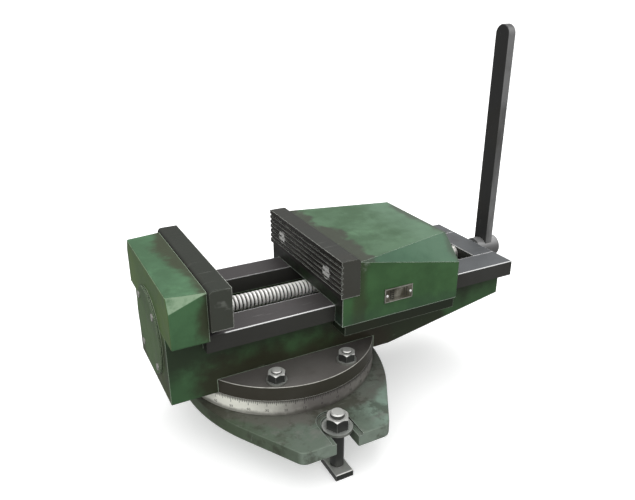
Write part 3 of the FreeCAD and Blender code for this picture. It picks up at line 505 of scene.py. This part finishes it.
def bare_steel(name, light, dark, roughness=0.36, grime_and_shade=0.6, side=None, metallic=0.7):
    """Bare steel, darker in its corners (painted shade) and in random dirty patches, with a painted shade
    colour on faces that don't look up.
    """
    net = Finish(name)
    broad = net.noise(26.0, 5.0, 0.6, shift=(0.4, 0.6, 0.2))
    fine = net.noise(300.0, 4.0, 0.6)
    colour = light
    # painted light and shade: a darker side colour where the face doesn't look up
    if side is not None:
        colour = net.blend(net.facing_up(0.25, 0.85), side, light)
    # painted shade in the corners, mixed with random dirt
    dirt = net.level(net.crevices(0.005) * 0.9 + (broad - 0.5) * 1.2, 0.12, 0.62)
    colour = net.blend(dirt * grime_and_shade, colour, dark)
    rub = net.level(net.edges(0.0009) + (fine - 0.5) * 0.6, 0.4, 0.8)
    rubbed_steel = (0.52, 0.52, 0.50)
    colour = net.blend(rub * 0.65, colour, rubbed_steel)
    red_rust = (0.09, 0.05, 0.03)
    rust = net.level(net.noise(70.0, 5.0, 0.65, shift=(0.9, 0.1, 0.5)), 0.62, 0.72)
    colour = net.blend(rust * 0.22, colour, red_rust)
    return net.finish(colour, roughness + (broad - 0.5) * 0.3, metallic, net.bump(fine, 0.00012, 0.4))


def ring_finish():
    """The degree ring: satin steel, painted light on the head's side and painted shade on the far side,
    darker where the base meets it, with a painted shadow under the flange.
    """
    net = Finish("ring_finish")
    broad = net.noise(12.0, 5.0, 0.6, shift=(0.4, 0.3, 0.2))
    mottle = net.noise(60.0, 6.0, 0.65, shift=(0.1, 0.5, 0.8))
    # painted light and shade: lit on the head's side, shaded on the far side
    ring_shaded_steel = (0.170, 0.158, 0.148)
    ring_lit_steel = (1.000, 1.000, 0.900)
    bright_until = -0.098
    dull_from = -0.018
    head_side = 1.0 - net.level(net.part(net.place, "X") + (broad - 0.5) * 0.10, bright_until, dull_from)
    shade = head_side * 1.10 + (broad - 0.5) * 0.35 + (mottle - 0.5) * 0.25
    colour = net.blend(shade, ring_shaded_steel, ring_lit_steel)

    # darker at the foot, where the base meets it
    ring_foot_dark = (0.060, 0.058, 0.046)
    foot = net.near("Z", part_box("degree_ring")[0].z, 0.001, 0.006, (mottle - 0.5) * 0.01)
    colour = net.blend(foot * 0.7, colour, ring_foot_dark)
    # painted shadow under the flange
    flange_underside = FLANGE_TOP - 0.018
    under_flange = net.near("Z", flange_underside, 0.0006, 0.003, (mottle - 0.5) * 0.004)
    colour = net.blend(under_flange * 0.7, colour, SOOT_AND_SHADE)
    return net.finish(colour, 0.42 + (mottle - 0.5) * 0.3, 0.05, net.bump(mottle, 0.0002, 0.4))


def thread_finish():
    """The lead screw: thread crests near white with a painted highlight, black in the grooves."""
    net = Finish("thread_finish")
    from_screw_axis = net.length(net.part(net.place, "Y"), net.part(net.place, "Z") - AXIS_Z)
    groove_radius = 0.0079
    crest_radius = 0.0088
    crest = net.level(from_screw_axis, groove_radius, crest_radius)
    mottle = net.noise(80.0, 5.0, 0.6)
    # painted highlight: the crests are near white
    steel = net.blend(net.level(mottle, 0.35, 0.65), (0.95, 0.93, 0.90), (1.0, 0.99, 0.97))
    # black in the grooves between the crests
    thread_groove_dark = (0.020, 0.018, 0.015)
    colour = net.blend(crest, thread_groove_dark, steel)
    return net.finish(colour, 0.38 + (mottle - 0.5) * 0.3, 0.1, net.bump(mottle, 0.00015, 0.5))


def tag_finish():
    """The name plate: etched alloy, dirty in the middle."""
    net = Finish("tag_finish")
    broad = net.noise(55.0, 5.0, 0.6)
    dirty_alloy = (0.070, 0.064, 0.044)
    clean_alloy = (0.300, 0.290, 0.240)
    colour = net.blend(net.level(broad, 0.35, 0.65), dirty_alloy, clean_alloy)
    rub = net.level(net.edges(0.0008), 0.3, 0.8)
    rubbed_alloy = (0.24, 0.25, 0.22)
    colour = net.blend(rub * 0.6, colour, rubbed_alloy)
    return net.finish(colour, 0.45 + (broad - 0.5) * 0.3, 0.4, net.bump(broad, 0.0002, 0.5))


def small_part_finish(name, colour, roughness, metallic):
    """One colour, broken up by dirty patches."""
    net = Finish(name)
    broad = net.noise(60.0, 4.0, 0.6)
    mixed = net.blend(net.level(broad, 0.3, 0.7), scaled(colour, 0.75), scaled(colour, 1.25))
    grain = net.bump(net.noise(400.0, 3.0, 0.6), 0.0001, 0.4)
    return net.finish(mixed, roughness + (broad - 0.5) * 0.2, metallic, grain)


def dress(node, material):
    """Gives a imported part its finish."""
    mesh = NODES[node].data
    mesh.materials.clear()
    mesh.materials.append(material)


# ---------------------------------------------------------------- small pieces

MERGE_DISTANCE = 1e-7

# Degree scale, in metres.
LINE_WIDTH = 0.55 * MM
LINE_DEPTH = 0.10 * MM
LINE_BELOW_TOP = 0.4 * MM
LINE_LENGTHS = {10: 7.0 * MM, 5: 5.4 * MM, 1: 3.6 * MM}
NUMBER_SIZE = 4.6 * MM
NUMBER_ABOVE_FOOT = 6.6 * MM
NUMBER_PROUD = 0.06 * MM

# Name plate: bars as (height above the middle, width), then dividers from its left end.
BAR_ROWS = ((5.6, 5.5), (3.2, 4.2), (0.4, 5.5), (-2.2, 5.0), (-4.8, 5.5))
BAR_HEIGHT = 1.1 * MM
BARS_FROM_END = 10.0 * MM
DIVIDERS = (7.6, 12.6, 27.5, 31.0)
DIVIDER_WIDTH = 0.7 * MM
DIVIDER_HEIGHT = 12.0 * MM
FIELD_DEPTH = 0.16 * MM
RIM_WIDTH = 1.0 * MM
RIM_DEPTH = 0.2 * MM
RIM_INSET = 0.6 * MM


def put_in_scene(name, data):
    thing = bpy.data.objects.new(name, data)
    bpy.context.scene.collection.objects.link(thing)
    return thing


def object_from(shape, name, material):
    """Makes an object from a bmesh."""
    mesh = bpy.data.meshes.new(name)
    shape.to_mesh(mesh)
    shape.free()
    mesh.materials.append(material)
    return put_in_scene(name, mesh)


def piece_from(shape, name, material, body):
    """Makes a finished piece from a bmesh and lets it ride on a body."""
    bmesh.ops.remove_doubles(shape, verts=shape.verts, dist=MERGE_DISTANCE)
    bmesh.ops.recalc_face_normals(shape, faces=shape.faces)
    piece = object_from(shape, name, material)
    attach(piece, body)


def add_block(shape, centre, size, turn=None):
    """Adds a small box of the given size, turned by a matrix if one is given."""
    place = Matrix.Translation(centre)
    if turn is not None:
        place = turn @ place
    scale = Matrix.Diagonal((size[0], size[1], size[2], 1.0))
    bmesh.ops.create_cube(shape, size=1.0, matrix=place @ scale)


def text_mesh(words, size):
    """A flat number as a mesh in the XY plane, centred on its origin."""
    curve = bpy.data.curves.new("number", "FONT")
    curve.body = words
    curve.size = size
    curve.resolution_u = 2
    curve.align_x = "CENTER"
    curve.align_y = "CENTER"
    holder = put_in_scene("number", curve)
    depsgraph = bpy.context.evaluated_depsgraph_get()
    mesh = bpy.data.meshes.new_from_object(holder.evaluated_get(depsgraph))
    bpy.data.objects.remove(holder)
    return mesh


def add_number(shape, words, size, angle, height, radius):
    """Bends a flat number round the upright cylinder of the given radius."""
    mesh = text_mesh(words, size)
    part = bmesh.new()
    part.from_mesh(mesh)
    for vertex in part.verts:
        bend = angle + vertex.co.x / radius
        vertex.co = (radius * math.cos(bend), radius * math.sin(bend), height + vertex.co.y)
    scratch = bpy.data.meshes.new("bent_number")
    part.to_mesh(scratch)
    part.free()
    shape.from_mesh(scratch)
    bpy.data.meshes.remove(scratch)
    bpy.data.meshes.remove(mesh)


def line_length(degree):
    """Tens are longest, then fives, then single degrees."""
    step = next(step for step in LINE_LENGTHS if degree % step == 0)
    return LINE_LENGTHS[step]


def make_scale_lines(ink, radius, top):
    marks = bmesh.new()
    for degree in range(360):
        length = line_length(degree)
        turn = Matrix.Rotation(math.radians(degree), 4, "Z")
        add_block(marks, Vector((radius, 0.0, top - length / 2.0)), (LINE_DEPTH, LINE_WIDTH, length), turn)
    piece_from(marks, "scale_lines", ink, "base")


def make_scale_numbers(ink, radius, height):
    """Numbers at each ten degrees, counted from the near and far sides to 90."""
    numbers = bmesh.new()
    for degree in range(0, 360, 10):
        count = degree % 180
        shown = min(count, 180 - count)
        add_number(numbers, str(shown), NUMBER_SIZE, math.radians(degree - 90.0), height, radius)
    piece_from(numbers, "scale_numbers", ink, "base")


def make_scale(ink):
    """Degree lines and numbers on the ring."""
    low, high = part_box("degree_ring")
    radius = high.x
    make_scale_lines(ink, radius, high.z - LINE_BELOW_TOP)
    make_scale_numbers(ink, radius + NUMBER_PROUD, low.z + NUMBER_ABOVE_FOOT)


def make_tag_fields(ink, low, face, middle_z):
    """Blank stamped fields on the name plate: a block of bars and two pairs of dividers."""
    fields = bmesh.new()
    for row, width in BAR_ROWS:
        place = Vector((low.x + BARS_FROM_END, face, middle_z + row * MM))
        add_block(fields, place, (width * MM, FIELD_DEPTH, BAR_HEIGHT))
    for from_end in DIVIDERS:
        place = Vector((low.x + from_end * MM, face, middle_z + MM))
        add_block(fields, place, (DIVIDER_WIDTH, FIELD_DEPTH, DIVIDER_HEIGHT))
    piece_from(fields, "tag_fields", ink, "slide")


def make_tag_rim(pale, low, high, face, middle):
    """A raised rim round the name plate."""
    rim = bmesh.new()
    half_x = (high.x - low.x) / 2.0 - RIM_INSET
    half_z = (high.z - low.z) / 2.0 - RIM_INSET
    for side in (-1, 1):
        add_block(rim, Vector((middle.x, face, middle.z + side * half_z)),
                  (2.0 * (half_x + RIM_INSET), RIM_DEPTH, RIM_WIDTH))
        add_block(rim, Vector((middle.x + side * half_x, face, middle.z)),
                  (RIM_WIDTH, RIM_DEPTH, 2.0 * half_z))
    piece_from(rim, "tag_rim", pale, "slide")


def make_tag_marks(ink, pale):
    low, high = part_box("name_plate")
    middle = (low + high) / 2.0
    make_tag_fields(ink, low, low.y, middle.z)
    make_tag_rim(pale, low, high, low.y, middle)


# ---------------------------------------------------------------- stage, light and camera

FLOOR_HALF_SIZE = 40.0
DOME_RADIUS = 30.0
FLOOR_GREY = (0.93, 0.93, 0.93)
FLOOR_GLOW = 0.34
WALL_GLOW = 1.0
WHITE = (1.0, 1.0, 1.0)
BLACK = (0.0, 0.0, 0.0)

SKY_LOW = 0.25           # brightness of the upper room where it is dimmest
SKY_HIGH = 1.70          # and where it is brightest
SKY_BELOW = 0.34         # brightness below the horizon
SKY_BRIGHT_SIDE = (-0.25, -0.38, 0.89)
HORIZON = (-0.05, 0.03)  # the room changes from lower to upper between these heights

LAMP_PLACE = (0.8, 0.6, 1.9)
LAMP_TARGET = (0.1, 0.0, 0.1)
LAMP_SIZE = 1.0
LAMP_POWER = 12.0

CAMERA_PLACE = (-0.28133, -0.65106, 0.46977)
CAMERA_TURN = math.radians(27.573)
CAMERA_TILT = math.radians(23.094)
LENS_MM = 35.57
SENSOR_MM = 36.0
SIGHT_LIMIT = 200.0


def stage_material(name, colour, glow):
    """A plain material without gloss that gives off some white light."""
    material = bpy.data.materials.new(name)
    net = Net(material)
    values = {"Base Color": colour, "Roughness": 1.0, "Specular IOR Level": 0.0,
              "Emission Color": WHITE, "Emission Strength": glow}
    net.feed_all(net.tree.nodes["Principled BSDF"], values)
    return material


def make_stage(floor_z):
    """A pale floor that bounced and mirror rays pass through."""
    place = Matrix.Translation((0.0, 0.0, floor_z))
    shape = bmesh.new()
    bmesh.ops.create_grid(shape, x_segments=1, y_segments=1, size=FLOOR_HALF_SIZE, matrix=place)
    floor = object_from(shape, "studio_floor", stage_material("studio_paper", FLOOR_GREY, FLOOR_GLOW))
    floor.visible_diffuse = False
    floor.visible_glossy = False


def make_dome():
    """A plain pale wall far behind everything, seen directly and lighting nothing."""
    shape = bmesh.new()
    bmesh.ops.create_uvsphere(shape, u_segments=32, v_segments=16, radius=DOME_RADIUS)
    dome = object_from(shape, "studio_dome", stage_material("studio_wall", BLACK, WALL_GLOW))
    dome.visible_diffuse = False
    dome.visible_glossy = False
    dome.visible_shadow = False


def make_world():
    """A soft white room, brightest overhead and on the near side, dim below the horizon."""
    world = bpy.data.worlds.new("studio")
    bpy.context.scene.world = world
    net = Net(world)
    direction = net.node("ShaderNodeTexCoord", {}, {}, "Generated")
    pair = {0: direction, 1: SKY_BRIGHT_SIDE}
    towards = net.node("ShaderNodeVectorMath", {"operation": "DOT_PRODUCT"}, pair, "Value")
    upper = net.span(towards, 0.0, 1.0, SKY_LOW, SKY_HIGH)
    whole = net.span(net.part(direction, "Z"), *HORIZON, SKY_BELOW, upper)
    net.feed_all(net.tree.nodes["Background"], {"Color": WHITE, "Strength": whole})


def make_lamp():
    """One soft light from behind and above."""
    lamp = bpy.data.lights.new("key", "AREA")
    lamp.shape = "RECTANGLE"
    lamp.size = LAMP_SIZE
    lamp.size_y = LAMP_SIZE
    lamp.energy = LAMP_POWER
    thing = put_in_scene("key", lamp)
    thing.location = LAMP_PLACE
    direction = Vector(LAMP_TARGET) - thing.location
    thing.rotation_euler = direction.to_track_quat("-Z", "Y").to_euler()


def make_camera():
    view = bpy.data.cameras.new("view")
    view.sensor_width = SENSOR_MM
    view.lens = LENS_MM
    view.clip_end = SIGHT_LIMIT
    camera = put_in_scene("view", view)
    camera.location = CAMERA_PLACE
    camera.rotation_euler = (math.pi / 2.0 - CAMERA_TILT, 0.0, -CAMERA_TURN)
    bpy.context.scene.camera = camera


bpy.context.scene.view_settings.view_transform = "Standard"
make_camera()
make_stage(min(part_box("front_table_bolt")[0].z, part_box("rear_table_bolt")[0].z))
make_dome()
make_world()
make_lamp()


# ---------------------------------------------------------------- dressing the imported parts

# ways: painted highlight on the chamfers and painted light at the rear
blackened = dark_steel(
    "blackened", dark=(0.052, 0.052, 0.047), light=(0.084, 0.078, 0.079), edge_colour=BRIGHT_EDGE,
    slant_highlight=1.0, wear_above=WAY_TOP - 0.004, rear_light=(0.150, 0.158, 0.165), wear_width=0.0022)
plate_steel = dark_steel(
    "plate_steel", dark=(0.074, 0.075, 0.064), light=(0.048, 0.049, 0.045), edge_colour=(0.60, 0.62, 0.57),
    face_colour=(0.016, 0.014, 0.012), screws="moving_jaw_screws")
smooth_plate = dark_steel(
    "smooth_plate", dark=(0.070, 0.076, 0.062), light=(0.034, 0.038, 0.031), edge_colour=(0.60, 0.62, 0.57),
    face_colour=(0.030, 0.030, 0.026), screws="fixed_jaw_screws")
# keepers coloured near black: dark steel, and painted shade under the moving jaw
shaded_keeper_steel = dark_steel(
    "shaded_keeper_steel", dark=(0.022, 0.030, 0.018), light=(0.040, 0.050, 0.036), edge_colour=(0.24, 0.27, 0.22))
# flange: painted highlight on the slanting chamfers
flange_steel = dark_steel(
    "flange_steel", dark=(0.056, 0.052, 0.040), light=(0.156, 0.147, 0.139), edge_colour=(0.66, 0.66, 0.60),
    slant_highlight=0.8)
# crank: painted light on the face that looks against Y
crank_steel = dark_steel(
    "crank_steel", dark=(0.036, 0.036, 0.036), light=(0.100, 0.100, 0.100), edge_colour=BRIGHT_EDGE,
    grain=(1.0, 1.0, 0.3), streaks=("Y", (0.250, 0.250, 0.250)))
# the side colours below are painted shade on the sides of the hub, bolts, nuts and washers
hub_steel = bare_steel(
    "hub_steel", light=(0.36, 0.36, 0.36), dark=(0.07, 0.07, 0.07), roughness=0.45, side=(0.20, 0.20, 0.20))
turned_steel = bare_steel("turned_steel", light=(0.60, 0.59, 0.56), dark=(0.10, 0.095, 0.085))
bolt_steel = bare_steel(
    "bolt_steel", light=(0.76, 0.76, 0.73), dark=(0.08, 0.08, 0.075), grime_and_shade=0.5, side=(0.060, 0.062, 0.058))
washer_steel = bare_steel(
    "washer_steel", light=(0.48, 0.50, 0.47), dark=(0.08, 0.08, 0.075), roughness=0.4,
    side=(0.30, 0.31, 0.28))
# screw heads and rivets near white: bright steel with a painted highlight
bright_steel = bare_steel(
    "bright_steel", light=(0.95, 0.95, 0.93), dark=(0.30, 0.29, 0.27), roughness=0.3, grime_and_shade=0.25,
    metallic=0.1)
bronze = small_part_finish("bronze", (0.34, 0.21, 0.08), roughness=0.38, metallic=0.8)
ink = small_part_finish("ink", (0.020, 0.020, 0.018), roughness=0.6, metallic=0.0)
tag_pale = small_part_finish("tag_pale", (0.34, 0.34, 0.30), roughness=0.45, metallic=0.3)

FINISHES = {
    "body_casting": body_enamel(), "end_cover": cover_enamel(), "moving_jaw": jaw_enamel(),
    "swivel_base": base_enamel(), "swivel_plate": flange_steel, "degree_ring": ring_finish(),
    "lead_screw": thread_finish(), "jaw_nut": bronze, "pivot_bush": bronze, "front_screw_bush": bronze,
    "rear_screw_bush": bronze, "name_plate": tag_finish(), "name_plate_rivets": bright_steel,
    "thrust_collar": turned_steel, "near_way": blackened, "far_way": blackened, "bearing_block": blackened,
    "near_keeper": shaded_keeper_steel, "far_keeper": shaded_keeper_steel, "fixed_jaw_plate": smooth_plate,
    "moving_jaw_plate": plate_steel, "crank_bar": crank_steel, "crank_hub": hub_steel,
    "moving_jaw_screws": bright_steel, "fixed_jaw_screws": bright_steel, "end_cover_screws": turned_steel,
    "front_table_washer": washer_steel, "rear_table_washer": washer_steel, "clamp_washers": washer_steel,
}
for node in NODES:
    dress(node, FINISHES.get(node, bolt_steel))
make_scale(ink)
make_tag_marks(ink, tag_pale)
